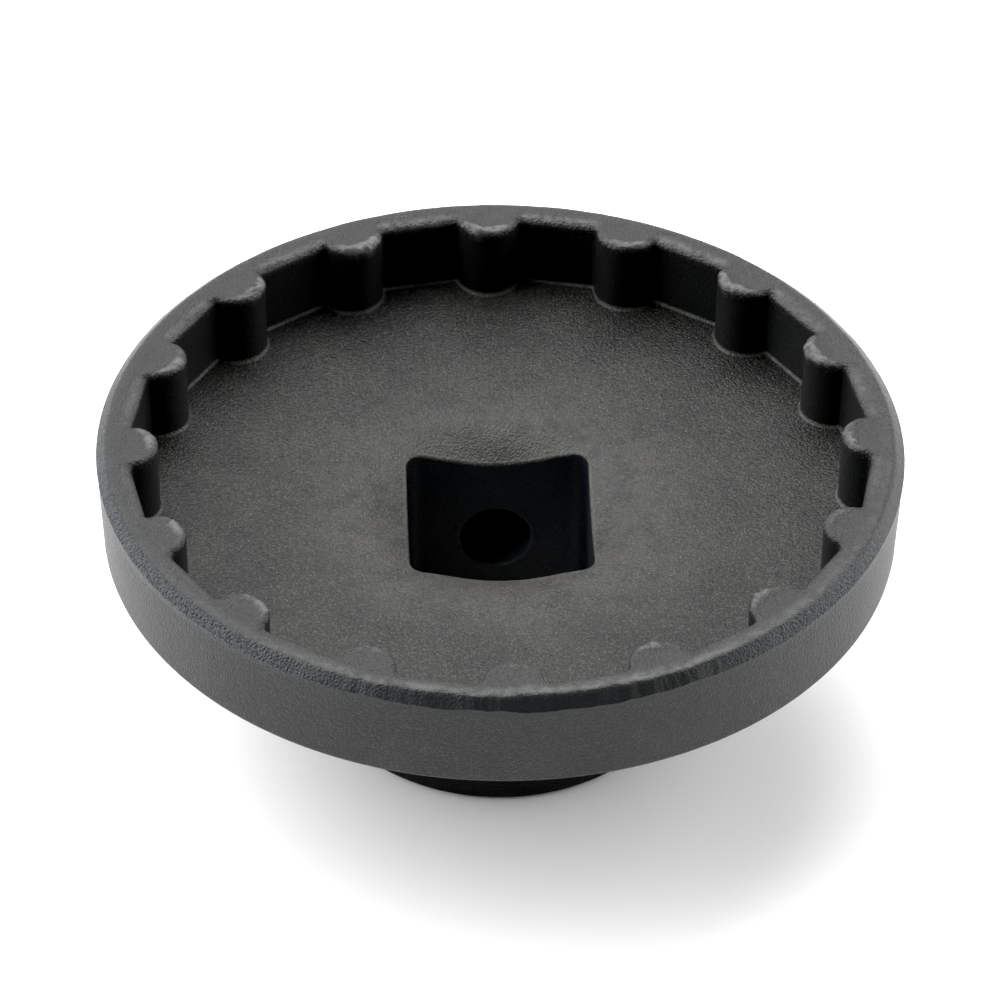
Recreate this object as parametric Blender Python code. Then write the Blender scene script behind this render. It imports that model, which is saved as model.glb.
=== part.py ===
"""Cap wrench for a cup or canister with sixteen round notches, turned by a half inch square drive.

The tool is one piece of cast steel: a shallow cup over a round hub. It is modelled as the regions that a
drawing of it would name: the rim, the sixteen lugs inside it, the floor and the hub, each a closed solid.
All lengths are in metres. The origin is the centre of the hub's bottom face, and +Z points out of the cup.
"""

import math

import bmesh
import bpy

# Overall
OVERALL_HEIGHT = 0.0222
SEAM = 0.0001  # clearance where two regions of the casting meet
SEGMENTS = 96  # points round a turned shape: six to each side of the sixteen-sided inside

# Rim
RIM_RADIUS = 0.028
RIM_HEIGHT = 0.0074
RIM_DRAFT = 0.0004  # how much smaller the rim is at its lower edge
RIM_TOP_ROUND = 0.0011
RIM_LOWER_CHAMFER = 0.0003
RIM_INNER_ROUND = 0.0004
INSIDE_APOTHEM = 0.02555  # centre to the middle of one of the sixteen inner faces, at the top
INSIDE_DRAFT = 0.0002

# Lugs
LUG_COUNT = 16
LUG_CENTRE_RADIUS = 0.0259
LUG_RADIUS = 0.0022
LUG_DRAFT = 0.0001
LUG_TOP_ROUND = 0.0004
LUG_ARC_STEPS = 10

# Floor, which is dished towards the drive, and the web's underside
FLOOR_DEPTH = 0.0054  # from the rim's top to the floor, at the wall
FLOOR_SLOPE = 0.04
THROAT_RADIUS = 0.011  # where the dish starts to steepen
THROAT_CURVE = 60.0  # depth gained per squared distance inside the throat radius, 1/m
UNDERSIDE_SLOPE = 0.09

# Hub
HUB_RADIUS = 0.0125
HUB_FILLET = 0.003
HUB_CHAMFER = 0.0003

# Square drive socket
DRIVE_HALF = 0.0064
DRIVE_CORNER_RADIUS = 0.0011
DRIVE_LEAD_IN = 0.0007
DETENT_RADIUS = 0.0025
DETENT_HEIGHT = 0.0082
DETENT_CHAMFER = 0.0003
DETENT_DEPTH = 0.0035  # to the end of the full diameter, from the socket's face
DETENT_POINT = math.radians(118)  # the drill's point angle
DETENT_SEGMENTS = 24
CUTTER_MARGIN = 0.001  # how far before the face the drill starts

# Arcs of a profile
ROUND_STEPS = 4
FILLET_STEPS = 5

TOP = OVERALL_HEIGHT
RIM_BOTTOM = OVERALL_HEIGHT - RIM_HEIGHT
FLOOR_AT_WALL = OVERALL_HEIGHT - FLOOR_DEPTH
QUARTER = math.pi / 2
SIDE_ANGLE = 2 * math.pi / LUG_COUNT

# Colours, all of one blackened steel: the floor holds more of the oil, and the hub is the least worn
RIM_COLOUR = (0.09, 0.09, 0.09)
LUG_COLOUR = (0.08, 0.08, 0.078)
FLOOR_COLOUR = (0.06, 0.055, 0.05)
HUB_COLOUR = (0.04, 0.042, 0.045)
METALLIC = 0.6
ROUGHNESS = 0.5
SHARP_ANGLE = math.radians(30)


def clear_scene():
    for obj in list(bpy.data.objects):
        bpy.data.objects.remove(obj, do_unlink=True)


def steel(name, colour):
    """A dark steel for one region of the casting."""
    material = bpy.data.materials.new(name)
    material.use_nodes = True
    shader = material.node_tree.nodes["Principled BSDF"]
    shader.inputs["Base Color"].default_value = (*colour, 1.0)
    shader.inputs["Metallic"].default_value = METALLIC
    shader.inputs["Roughness"].default_value = ROUGHNESS
    return material


def polygon_radius(angle, apothem):
    """Distance from the centre to a regular polygon with a corner at each lug."""
    across = (angle % SIDE_ANGLE) - SIDE_ANGLE / 2
    return apothem / math.cos(across)


def square_radius(angle, half, corner):
    """Distance from the centre to a square with rounded corners and a face towards +X."""
    off_face = abs((angle + QUARTER / 2) % QUARTER - QUARTER / 2)
    if half * math.tan(off_face) <= half - corner:
        return half / math.cos(off_face)
    centre = half - corner
    along = centre * (math.cos(off_face) + math.sin(off_face))
    return along + math.sqrt(along**2 - 2 * centre**2 + corner**2)


def floor_height(radius):
    """Height of the dished floor at a distance from the axis."""
    inside_throat = max(0.0, THROAT_RADIUS - radius)
    fall = FLOOR_SLOPE * (INSIDE_APOTHEM - radius) + THROAT_CURVE * inside_throat**2
    return FLOOR_AT_WALL - fall


def underside_height(radius):
    return RIM_BOTTOM - UNDERSIDE_SLOPE * (INSIDE_APOTHEM - radius)


def circle(radius):
    return lambda angle: radius


def polygon(apothem):
    return lambda angle: polygon_radius(angle, apothem)


def square(half):
    return lambda angle: square_radius(angle, half, DRIVE_CORNER_RADIUS + half - DRIVE_HALF)


def level(height):
    return lambda radius: height


def between(outer, inner, share):
    """An outline part of the way from one outline to another."""
    return lambda angle: outer(angle) + share * (inner(angle) - outer(angle))


def arc(centre_radius, centre_height, radius, start, end, steps):
    """(radius, height) points on an arc of a profile, for angles from +X towards +Z."""
    points = []
    for step in range(steps + 1):
        angle = start + (end - start) * step / steps
        away = centre_radius + radius * math.cos(angle)
        points.append((away, centre_height + radius * math.sin(angle)))
    return points


def join_rings(mesh, ring, following):
    for index, vertex in enumerate(ring):
        after = (index + 1) % len(ring)
        mesh.faces.new((vertex, following[index], following[after], ring[after]))


def tube_mesh(name, loops):
    """A closed ring-shaped mesh through loops of (outline, height) that run once round its section."""
    mesh = bmesh.new()
    rings = []
    for outline, height in loops:
        ring = []
        for index in range(SEGMENTS):
            angle = 2 * math.pi * index / SEGMENTS
            radius = outline(angle)
            x = radius * math.cos(angle)
            ring.append(mesh.verts.new((x, radius * math.sin(angle), height(radius))))
        rings.append(ring)
    for ring, following in zip(rings, rings[1:] + rings[:1]):
        join_rings(mesh, ring, following)
    return finished_mesh(name, mesh)


def finished_mesh(name, mesh):
    bmesh.ops.recalc_face_normals(mesh, faces=mesh.faces[:])
    data = bpy.data.meshes.new(name)
    mesh.to_mesh(data)
    mesh.free()
    return data


def add_object(name, data, material):
    obj = bpy.data.objects.new(name, data)
    bpy.context.scene.collection.objects.link(obj)
    data.materials.append(material)
    data.shade_smooth()
    data.set_sharp_from_angle(angle=SHARP_ANGLE)
    return obj


def rim():
    """The wall of the cup: round outside, sixteen-sided inside."""
    top_centre = RIM_RADIUS - RIM_TOP_ROUND
    inner_top = INSIDE_APOTHEM + RIM_INNER_ROUND
    low_radius = RIM_RADIUS - RIM_DRAFT
    loops = [
        (polygon(INSIDE_APOTHEM - INSIDE_DRAFT), level(RIM_BOTTOM)),
        (circle(low_radius - RIM_LOWER_CHAMFER), level(RIM_BOTTOM)),
        (circle(low_radius), level(RIM_BOTTOM + RIM_LOWER_CHAMFER)),
    ]
    outer_round = arc(top_centre, TOP - RIM_TOP_ROUND, RIM_TOP_ROUND, 0, QUARTER, ROUND_STEPS)
    inner_round = arc(inner_top, TOP - RIM_INNER_ROUND, RIM_INNER_ROUND, QUARTER, math.pi, ROUND_STEPS)
    loops += [(circle(radius), level(height)) for radius, height in outer_round]
    loops += [(polygon(radius), level(height)) for radius, height in inner_round]
    loops.append((polygon(INSIDE_APOTHEM - INSIDE_DRAFT), level(FLOOR_AT_WALL)))
    return add_object("rim_ring", tube_mesh("rim_ring", loops), steel("rim_steel", RIM_COLOUR))


def floor():
    """The dished web between the rim and the hub, with the fillet that runs down to the hub."""
    edge = polygon(INSIDE_APOTHEM - INSIDE_DRAFT - SEAM)
    throat = circle(THROAT_RADIUS)
    drive = square(DRIVE_HALF)
    fillet_radius = HUB_RADIUS + HUB_FILLET
    fillet_height = underside_height(fillet_radius) - HUB_FILLET
    loops = [(between(edge, throat, share), floor_height) for share in (0, 0.3, 0.65, 1)]
    loops += [(between(throat, drive, share), floor_height) for share in (0.33, 0.67, 1)]
    loops.append((drive, level(fillet_height + SEAM)))
    loops.append((circle(HUB_RADIUS), level(fillet_height + SEAM)))
    fillet = arc(fillet_radius, fillet_height, HUB_FILLET, math.pi, QUARTER, FILLET_STEPS)
    loops += [(circle(radius), level(height)) for radius, height in fillet[1:]]
    loops.append((edge, level(RIM_BOTTOM)))
    return add_object("floor_web", tube_mesh("floor_web", loops), steel("floor_steel", FLOOR_COLOUR))


def detent_cutter():
    """A drill that goes into the +Y wall of the hub from inside the socket, with a small countersink."""
    countersink = DETENT_CHAMFER + CUTTER_MARGIN
    end = DRIVE_HALF + DETENT_DEPTH
    stations = [
        (DRIVE_HALF - CUTTER_MARGIN, DETENT_RADIUS + countersink),
        (DRIVE_HALF + DETENT_CHAMFER, DETENT_RADIUS),
        (end, DETENT_RADIUS),
    ]
    mesh = bmesh.new()
    rings = []
    for along, radius in stations:
        ring = []
        for index in range(DETENT_SEGMENTS):
            angle = 2 * math.pi * index / DETENT_SEGMENTS
            across = radius * math.cos(angle)
            ring.append(mesh.verts.new((across, along, DETENT_HEIGHT + radius * math.sin(angle))))
        rings.append(ring)
    for ring, following in zip(rings, rings[1:]):
        join_rings(mesh, ring, following)
    mesh.faces.new(rings[0])
    tip = mesh.verts.new((0, end + DETENT_RADIUS / math.tan(DETENT_POINT / 2), DETENT_HEIGHT))
    last = rings[-1]
    for index in range(DETENT_SEGMENTS):
        mesh.faces.new((last[index], last[(index + 1) % DETENT_SEGMENTS], tip))
    cutter = bpy.data.objects.new("detent_cutter", finished_mesh("detent_cutter", mesh))
    bpy.context.scene.collection.objects.link(cutter)
    cutter.hide_render = True
    cutter.display_type = "WIRE"
    return cutter


def hub():
    """The round drive end, with its square socket and the cross hole for a square drive's ball."""
    fillet_height = underside_height(HUB_RADIUS + HUB_FILLET) - HUB_FILLET
    loops = [
        (square(DRIVE_HALF), level(fillet_height)),
        (square(DRIVE_HALF), level(DRIVE_LEAD_IN)),
        (square(DRIVE_HALF + DRIVE_LEAD_IN), level(0)),
        (circle(HUB_RADIUS - HUB_CHAMFER), level(0)),
        (circle(HUB_RADIUS), level(HUB_CHAMFER)),
        (circle(HUB_RADIUS), level(fillet_height)),
    ]
    body = add_object("drive_hub", tube_mesh("drive_hub", loops), steel("hub_steel", HUB_COLOUR))
    cut = body.modifiers.new("detent", "BOOLEAN")
    cut.operation = "DIFFERENCE"
    cut.object = detent_cutter()
    return body


def lug_outline(radius, wall):
    """The plan of a lug at +X: an arc between two inner faces, and the corner that they make behind it."""
    half_side = SIDE_ANGLE / 2
    corner = wall / math.cos(half_side)
    # The arc ends where it meets the inner faces, which lean half a side's angle from square to the lug.
    offset = LUG_CENTRE_RADIUS * math.cos(half_side) - wall
    reach = math.acos(-offset / radius)
    start = half_side + reach
    points = []
    for step in range(LUG_ARC_STEPS + 1):
        angle = start + (2 * math.pi - 2 * start) * step / LUG_ARC_STEPS
        points.append((LUG_CENTRE_RADIUS + radius * math.cos(angle), radius * math.sin(angle)))
    points.append((corner, 0.0))
    return points


def lug_mesh():
    """A half-round lug that stands on the floor against a corner of the inside, rounded at its top edge."""
    wall = INSIDE_APOTHEM - INSIDE_DRAFT - SEAM
    base = floor_height(wall / math.cos(SIDE_ANGLE / 2)) + SEAM
    sections = [(LUG_RADIUS + LUG_DRAFT, base)]
    sections += arc(LUG_RADIUS - LUG_TOP_ROUND, TOP - LUG_TOP_ROUND, LUG_TOP_ROUND, 0, QUARTER, ROUND_STEPS)
    mesh = bmesh.new()
    rings = []
    for radius, height in sections:
        rings.append([mesh.verts.new((x, y, height)) for x, y in lug_outline(radius, wall)])
    for ring, following in zip(rings, rings[1:]):
        join_rings(mesh, ring, following)
    mesh.faces.new(rings[0])
    mesh.faces.new(rings[-1])
    return finished_mesh("lug", mesh)


def lugs():
    """Sixteen lugs share one mesh. The first is at +Y, and they are numbered clockwise from above."""
    data = lug_mesh()
    material = steel("lug_steel", LUG_COLOUR)
    first = add_object("lug_01", data, material)
    first.rotation_euler.z = QUARTER
    for number in range(2, LUG_COUNT + 1):
        lug = bpy.data.objects.new(f"lug_{number:02d}", data)
        bpy.context.scene.collection.objects.link(lug)
        lug.rotation_euler.z = QUARTER - (number - 1) * SIDE_ANGLE


def main():
    clear_scene()
    rim()
    floor()
    hub()
    lugs()


main()
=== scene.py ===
"""Looks of a notched cup wrench: one blackened, shot-blasted steel casting in a soft studio.

The surface of the casting is built once, as rows of points that run round it. It is then shared out among
the regions that the frame names, so that neighbouring regions meet point for point. Lengths are in
metres.
"""

import math
from types import SimpleNamespace

import bpy
import numpy as np
from mathutils import Matrix, Vector, noise


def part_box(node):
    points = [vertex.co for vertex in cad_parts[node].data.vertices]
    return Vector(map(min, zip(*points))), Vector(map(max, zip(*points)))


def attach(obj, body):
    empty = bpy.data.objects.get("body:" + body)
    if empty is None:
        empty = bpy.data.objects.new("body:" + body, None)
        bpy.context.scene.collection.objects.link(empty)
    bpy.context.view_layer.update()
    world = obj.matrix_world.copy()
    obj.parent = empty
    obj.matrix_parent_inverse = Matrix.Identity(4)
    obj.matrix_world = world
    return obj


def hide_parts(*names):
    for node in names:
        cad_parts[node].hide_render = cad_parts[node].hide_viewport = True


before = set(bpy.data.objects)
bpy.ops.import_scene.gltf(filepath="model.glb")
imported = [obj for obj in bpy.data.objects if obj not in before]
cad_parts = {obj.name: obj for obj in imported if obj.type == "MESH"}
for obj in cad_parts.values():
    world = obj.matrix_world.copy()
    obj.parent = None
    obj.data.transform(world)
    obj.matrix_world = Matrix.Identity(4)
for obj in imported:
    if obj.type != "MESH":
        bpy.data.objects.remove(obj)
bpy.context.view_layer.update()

MM = 0.001
QUARTER = math.pi / 2
TURN = 2 * math.pi

# Driving sizes, from the frame
RIM_LOW, RIM_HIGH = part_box("rim_ring")
LUG_LOW, LUG_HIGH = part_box("lug_01")  # the lug at +Y
HUB_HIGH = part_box("drive_hub")[1]
LUG_COUNT = sum(name.startswith("lug_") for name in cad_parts)
HALF_SIDE = math.pi / LUG_COUNT
SEAM = 0.1 * MM
TRAITS = ("wear", "pits", "peened", "soot")  # what the finish takes from each point, from 0 to 1
TOP = RIM_HIGH.z
RIM_BOTTOM = RIM_LOW.z
RIM_RADIUS = RIM_HIGH.x
LUG_CENTRE = LUG_LOW.y + LUG_HIGH.x
LUG_BASE_RADIUS = LUG_HIGH.x
LUG_DRAFT = 0.1 * MM
WALL_AT_FLOOR = LUG_HIGH.y * math.cos(HALF_SIDE) + SEAM
WALL_DRAFT = 0.2 * MM
FLOOR_AT_WALL = LUG_LOW.z - SEAM
HUB_RADIUS = HUB_HIGH.x
HUB_TOP = HUB_HIGH.z

# Rim
INNER_PEENED_AND_SHADED = 0.9  # the walls and lugs are smoother than the rest, and darker, which is painted shade
WALL_BULGE = 0.03 * MM
JOIN_RADIUS = 0.35 * MM  # fillet in plan where a lug meets the wall
FOOT_FILLET = 0.22 * MM  # fillet where walls and lugs meet the floor
FLAT_EDGE = 0.55 * MM  # rounding of the inner top edge on the flats
LUG_EDGE = 0.28 * MM  # and on the lugs
CROWN = 0.16 * MM  # how far the flats' top falls towards the inside
CROWN_WIDTH = 1.7 * MM
DISC_RADIUS = 2.3 * MM  # the dished place over each lug
DISC_EDGE = 0.35 * MM
DISC_DEPTH = 0.09 * MM
DISC_PEENED = 0.3
CAST_RUN = 0.92 * MM  # how far in from the turned side the cast rounding starts
CAST_TILT = math.radians(44)  # its slope at the turned side
CAST_BEND = 0.4  # the share of its length that bends
OUTER_FALL = 0.05 * MM  # how far the top falls before it
OUTER_WIDTH = 0.9 * MM
FALL_TILT = math.atan(2 * OUTER_FALL / OUTER_WIDTH)
CAST_LEAN = 0.11 * MM  # how far the casting sits off the turned side's centre
LEAN_TOWARDS = math.radians(-50)
PITTED_AT = math.radians(-152)  # where the outer rounding is coarsest
PITTED_SPREAD = math.radians(33)
CRUSTED_AT = math.radians(-36)  # and where it is a little coarse
CRUSTED_SPREAD = math.radians(18)
EDGE_HIGHLIGHT_AT = math.radians(-80)  # where a highlight is painted along the top's outer edge
EDGE_HIGHLIGHT_SPREAD = math.radians(55)
UNEVEN_AT = math.radians(-90)  # where its lower edge wavers most
UNEVEN_SPREAD = math.radians(32)
LIP_LEAST = 0.12 * MM  # height of the hammered lips on the lugs at -Y
LIP_MORE = 0.30 * MM  # and how much higher they are on the lugs at +Y
LIP_SPREAD = math.radians(95)
LIP_INSET = 0.48 * MM  # how far their line is from the lug's edge
LIP_WIDTH = 0.40 * MM
LIP_SWING = 1.1  # how far round the tip they reach, in radians, and how far off its middle they may sit
LIP_OFF_CENTRE = 0.35
LIP_RISE = 0.7  # how much of the height goes up
LIP_OVERHANG = 0.8  # and how much goes inwards
SIDE_DRAFT = 0.4 * MM
LOWER_ROUND = 0.35 * MM
WEB_EDGE = 25.3 * MM  # where the rim's underside passes into the web's

# Floor, as the frame's own
FLOOR_SLOPE = 0.04
THROAT_RADIUS = 11 * MM
THROAT_CURVE = 60.0
UNDERSIDE_SLOPE = 0.09
HUB_FILLET = 3 * MM
FILLET_PAINTED_SHADE = 0.4  # painted shade: the underside darkens from here, at the top of the fillet, down to the hub
FLOOR_HIGHLIGHT_SPAN = (9 * MM, 18 * MM)  # a painted highlight round the socket inside the first radius, fading as far as the second
FLOOR_HIGHLIGHT = 0.25
FOOT_WEAR_AND_HIGHLIGHT = 0.5  # brighter on the fillet at the wall's foot, partly wear and partly a painted highlight
DRIVE_LIP_WEAR = 0.6
RELAXED_RADIUS = 22 * MM  # inside this the floor's rows are plain circles
CAST_WAVES = 0.02 * MM  # in the floor and the underside

# Drive
DRIVE_HALF = 6.4 * MM
DRIVE_CORNER = 1.1 * MM
DRIVE_LIP = 0.3 * MM
DRIVE_LEAD_IN = 0.7 * MM
HUB_CHAMFER = 0.3 * MM
DETENT_RADIUS = 2.5 * MM
DETENT_HEIGHT = 8.2 * MM
DETENT_CHAMFER = 0.12 * MM
DETENT_DEPTH = 3.5 * MM
DETENT_POINT = math.radians(118)
SHARP_FROM = math.radians(25)  # the hub's edges show from this angle up

# Grain
FINE_GRAIN = 0.12 * MM
BLASTED_GRAIN = 0.14 * MM
SAND = 0.19 * MM  # the marks of the blasting sand
SAND_SHARE = 1.5  # how deep they are, against the blasted grain
SPECKS = 0.31 * MM
STAINS = 1.6 * MM
CLOUDS = 5 * MM

# Finishes: the darkest and the palest grain, the specular level, the roughness and the relief's depth
FINISHES = {
    "blasted_steel": {
        "dark": (0.0052, 0.0057, 0.0062, 1), "pale": (0.0370, 0.0367, 0.0360, 1),
        "shine": 0.26, "roughness": 0.45, "relief": 0.034 * MM,
    },
    "blasted_floor_steel": {
        "dark": (0.0024, 0.0022, 0.0020, 1), "pale": (0.0620, 0.0590, 0.0545, 1),
        "shine": 0.22, "roughness": 0.47, "relief": 0.034 * MM,
    },
    # the socket's walls: their darker colour is painted shade in the socket
    "socket_steel_painted_shade": {
        "dark": (0.0050, 0.0068, 0.0095, 1), "pale": (0.0100, 0.0130, 0.0170, 1),
        "shine": 0.25, "roughness": 0.45, "relief": 0.02 * MM,
    },
    # inside the detent hole: the paler colour is painted light, for the lit crescent in the hole
    "drilled_steel_painted_light": {
        "dark": (0.0350, 0.0400, 0.0450, 1), "pale": (0.0550, 0.0600, 0.0650, 1),
        "shine": 0.40, "roughness": 0.40, "relief": 0.01 * MM,
    },
    "hub_steel": {
        "dark": (0.0050, 0.0058, 0.0068, 1), "pale": (0.0420, 0.0425, 0.0435, 1),
        "shine": 0.12, "roughness": 0.50, "relief": 0.03 * MM,
    },
}
PITTED_RELIEF = 0.110 * MM
FINE_RELIEF = 0.015 * MM
SPECK_RELIEF = 0.004 * MM
SPECK_AND_GLINT_BRIGHTNESS = 1.6  # bright specks, partly grain and partly painted glints; against the palest grain
# paler, bluish colour in the pits: partly cast crust, partly a painted sheen where the rounding faces the
# side lamps
CRUST_AND_SHEEN = (0.044, 0.051, 0.057, 1)
# the colour of wear and of the painted highlights
WORN_AND_HIGHLIT = (0.07725, 0.075, 0.07275, 1)
# the colour of the painted shade on the hub and under the web
PAINTED_SHADE_COLOUR = (0.0005, 0.0008, 0.0012, 1)
DRESS = {  # the finishes of the pieces that aren't all of blasted_steel
    "floor_web_skin": ["blasted_floor_steel", "socket_steel_painted_shade", "hub_steel"],
    "drive_hub_skin": ["socket_steel_painted_shade", "hub_steel", "drilled_steel_painted_light"],
}
HUB_FINISHES = {"socket": 0, "outside": 1, "drilled": 2}

# Light: the tent's walls, and soft lamps behind them. Azimuth is from -Y towards +X
OPENING_AT = (math.radians(10), math.radians(35))
OPENING_SPREAD = (0.17, 0.60)  # cosines of the angles where a lamp or an opening ends and is whole
OPENING_LIGHT = 0.03
FRONT_LIGHT = 0.4
BACK_LIGHT = 1.6
LAMPS = {  # azimuth, elevation, cosines, brightness
    "ceiling": (math.radians(180), math.radians(59), 0.87, 0.97, 5.4),
    "left": (math.radians(-100), math.radians(37), 0.70, 0.95, 4.8),
    "right": (math.radians(97), math.radians(15), 0.70, 0.95, 3.8),
}

# Studio floor and camera
FLOOR_RADIUS = 6.0
FLOOR_STEPS = 96
SENSOR = 36  # these two in millimetres
FOCAL_LENGTH = 256.9
CLIP = (0.01, 50)
CAMERA_AT = (-0.0160, -0.3864, 0.3294)
AIMED_AT = (-0.0001, -0.0026, 0.01893)
CAMERA_ROLL = math.radians(0.679)
BLACK_LEVEL = 0.0025  # what the picture shows as black

# Steps along each stretch, for a point every 0.2 mm or so where the surface is rough
ARC_STEPS = 20
JOIN_STEPS = 4
FLAT_STEPS = 12
HALF_STEPS = ARC_STEPS + JOIN_STEPS + FLAT_STEPS
AROUND = 2 * HALF_STEPS * LUG_COUNT
THIN = 3  # rows near the socket and under the web have a third of the points
FEW = AROUND // THIN
DRILL_STEPS = 64
PROFILE_STEPS = 80  # for adding up the cast rounding's profile

# Rows on each stretch
WALL_ROWS = 8
EDGE_ROWS = 6
TOP_ROWS = 14
ROUNDING_ROWS = 10
SIDE_ROWS = 10
LOWER_ROWS = 4
FOOT_ROWS = 4
CIRCLE_ROWS = 12
THROAT_ROWS = 7
DRIVE_LIP_ROWS = 5
SOCKET_ROWS = 6
WEB_ROWS = 8
HUB_FILLET_ROWS = 10
LUG_BACK = 5  # the lugs end this many rows before the top's outer edge

# Groups of faces: the shading is smooth within a group, and has an edge between two
CAST_TOP, TURNED_SIDE, FLOOR, UNDERSIDE, SOCKET_WALL = range(5)
INSIDE = None  # faces that close a piece off within the steel
FINISH_OF_GROUP = {SOCKET_WALL: 1, UNDERSIDE: 2}


def rough(points, size, seed):
    """Smooth noise from -1 to 1 at each point, with features of that size."""
    shift = Vector((7.3, 3.1, 5.7)) * seed
    return np.array([noise.noise(Vector(point) / size + shift) for point in points])


def smooth(value, start, end):
    """0 before the start, 1 after the end, and an even curve between."""
    share = np.clip((value - start) / (end - start), 0, 1)
    return share * share * (3 - 2 * share)


def before_one(count):
    """Even shares from 0 to just before 1."""
    return np.linspace(0, 1, count + 1)[:-1]


def after_zero(count):
    """Even shares from just after 0 to 1."""
    return np.linspace(0, 1, count + 1)[1:]


def unit(angles):
    """Directions in plan at angles from +X."""
    return np.stack([np.cos(angles), np.sin(angles)], axis=-1)


def half_outline(apothem, radius):
    """Points, and normals into the steel, from the tip of a lug at +X to the middle of the next flat."""
    face = unit(HALF_SIDE)
    along = np.array([-face[1], face[0]])
    lug = np.array([LUG_CENTRE, 0.0])
    depth = apothem - JOIN_RADIUS - LUG_CENTRE * math.cos(HALF_SIDE)
    reach = math.sqrt((radius + JOIN_RADIUS) ** 2 - depth**2)
    join = (apothem - JOIN_RADIUS) * face + (reach - LUG_CENTRE * math.sin(HALF_SIDE)) * along
    end = math.atan2(join[1], join[0] - LUG_CENTRE)
    lug_ways = unit(np.linspace(math.pi, end, ARC_STEPS + 1))
    join_ways = unit(np.linspace(end - math.pi, HALF_SIDE, JOIN_STEPS + 1))[1:]
    flat_from = join + JOIN_RADIUS * face
    shares = np.linspace(0, 1, FLAT_STEPS + 1)[1:, None]
    flat = flat_from + shares * (apothem * face - flat_from)
    points = np.concatenate([lug + radius * lug_ways, join + JOIN_RADIUS * join_ways, flat])
    normals = np.concatenate([-lug_ways, join_ways, np.tile(face, (FLAT_STEPS, 1))])
    return points, normals


def outline(apothem, radius):
    """The whole inside, counterclockwise from the middle of the flat before the lug at +Y."""
    points, normals = half_outline(apothem, radius)
    mirror = np.array([1.0, -1.0])
    sector = [np.concatenate([(part * mirror)[:0:-1], part[:-1]]) for part in (points, normals)]
    turned = []
    for part in sector:
        copies = []
        for number in range(LUG_COUNT):
            angle = QUARTER + number * 2 * HALF_SIDE
            c, s = math.cos(angle), math.sin(angle)
            copies.append(part @ np.array([[c, s], [-s, c]]))
        turned.append(np.concatenate(copies))
    return turned


def wall_outline(height):
    """The inside at a height: it opens a little upwards, and the lugs get a little thinner."""
    share = (height - FLOOR_AT_WALL) / (TOP - FLOOR_AT_WALL)
    return outline(WALL_AT_FLOOR + share * WALL_DRAFT, LUG_BASE_RADIUS - share * LUG_DRAFT)


def with_height(points, height):
    """Points in plan, raised to one height or to a height each."""
    return np.column_stack([points, np.broadcast_to(height, len(points))])


def square_radius(angles, half, corner):
    """Distance from the centre to a square with rounded corners and a face towards +X."""
    off_face = np.abs((angles + QUARTER / 2) % QUARTER - QUARTER / 2)
    centre = half - corner
    along = centre * (np.cos(off_face) + np.sin(off_face))
    inside = np.maximum(along**2 - 2 * centre**2 + corner**2, 0)
    return np.where(half * np.tan(off_face) <= centre, half / np.cos(off_face), along + np.sqrt(inside))


def near_angle(angle, centre, spread):
    """1 at an angle round the axis, falling to 0 away from it."""
    away = (angle - centre + math.pi) % TURN - math.pi
    return np.exp(-((away / spread) ** 2))


def floor_height(radius):
    """The floor's cone, with a throat that steepens towards the socket."""
    inside_throat = np.maximum(0.0, THROAT_RADIUS - radius)
    return FLOOR_AT_WALL - FLOOR_SLOPE * (WALL_AT_FLOOR - radius) - THROAT_CURVE * inside_throat**2


def underside_height(radius):
    """The cone under the web."""
    return RIM_BOTTOM - UNDERSIDE_SLOPE * (WEB_EDGE - radius)


class Skin:
    """The casting's surface: rows of points round it, and faces, each with its piece and its group."""

    def __init__(self):
        self.points = []
        self.traits = {name: [] for name in TRAITS}
        self.count = 0
        self.faces = []
        self.pieces = []
        self.groups = []

    def row(self, points, **traits):
        """Adds points, with their traits, and gives back their numbers."""
        index = np.arange(self.count, self.count + len(points))
        self.points.append(points)
        for name, values in self.traits.items():
            values.append(np.broadcast_to(traits.get(name, 0.0), len(points)))
        self.count += len(points)
        return index

    def face(self, corners, piece, group):
        """Adds a face through numbered points."""
        self.faces.append([int(corner) for corner in corners])
        self.pieces.append(piece)
        self.groups.append(group)

    def strip(self, row, following, piece, group):
        """Faces from a row to the following one. The rows go clockwise round the section."""
        if len(row) == len(following):
            for i in range(len(row)):
                j = (i + 1) % len(row)
                self.face((row[i], following[i], following[j], row[j]), piece, group)
            return
        for i in range(min(len(row), len(following))):
            j = (i + 1) % min(len(row), len(following))
            wide = [(THIN * i + step) % max(len(row), len(following)) for step in range(THIN + 1)]
            if len(row) < len(following):
                corners = [row[i], *following[wide], row[j]]
            else:
                corners = [following[i], following[j], *row[wide[::-1]]]
            self.face(corners, piece, group)


def lug_share():
    """For each point round the inside, 1 on a lug and 0 on a flat."""
    step = np.arange(AROUND) % (2 * HALF_STEPS)
    from_tip = np.abs(step - HALF_STEPS)
    return 1 - smooth(from_tip, ARC_STEPS - 4, ARC_STEPS + JOIN_STEPS + 1)


def from_lug(points):
    """Each point's distance from the centre of the nearest lug, in plan."""
    angle = np.arctan2(points[:, 1], points[:, 0])
    nearest = np.round((angle - QUARTER) / (2 * HALF_SIDE)) * 2 * HALF_SIDE + QUARTER
    return np.linalg.norm(points[:, :2] - LUG_CENTRE * unit(nearest), axis=1)


def disc_share(points):
    """1 over a lug, where the top is dished, and 0 on the flats between."""
    away = from_lug(points) + 0.3 * MM * rough(points, 1.1 * MM, 14)
    return 1 - smooth(away, DISC_RADIUS - DISC_EDGE, DISC_RADIUS + DISC_EDGE)


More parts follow.
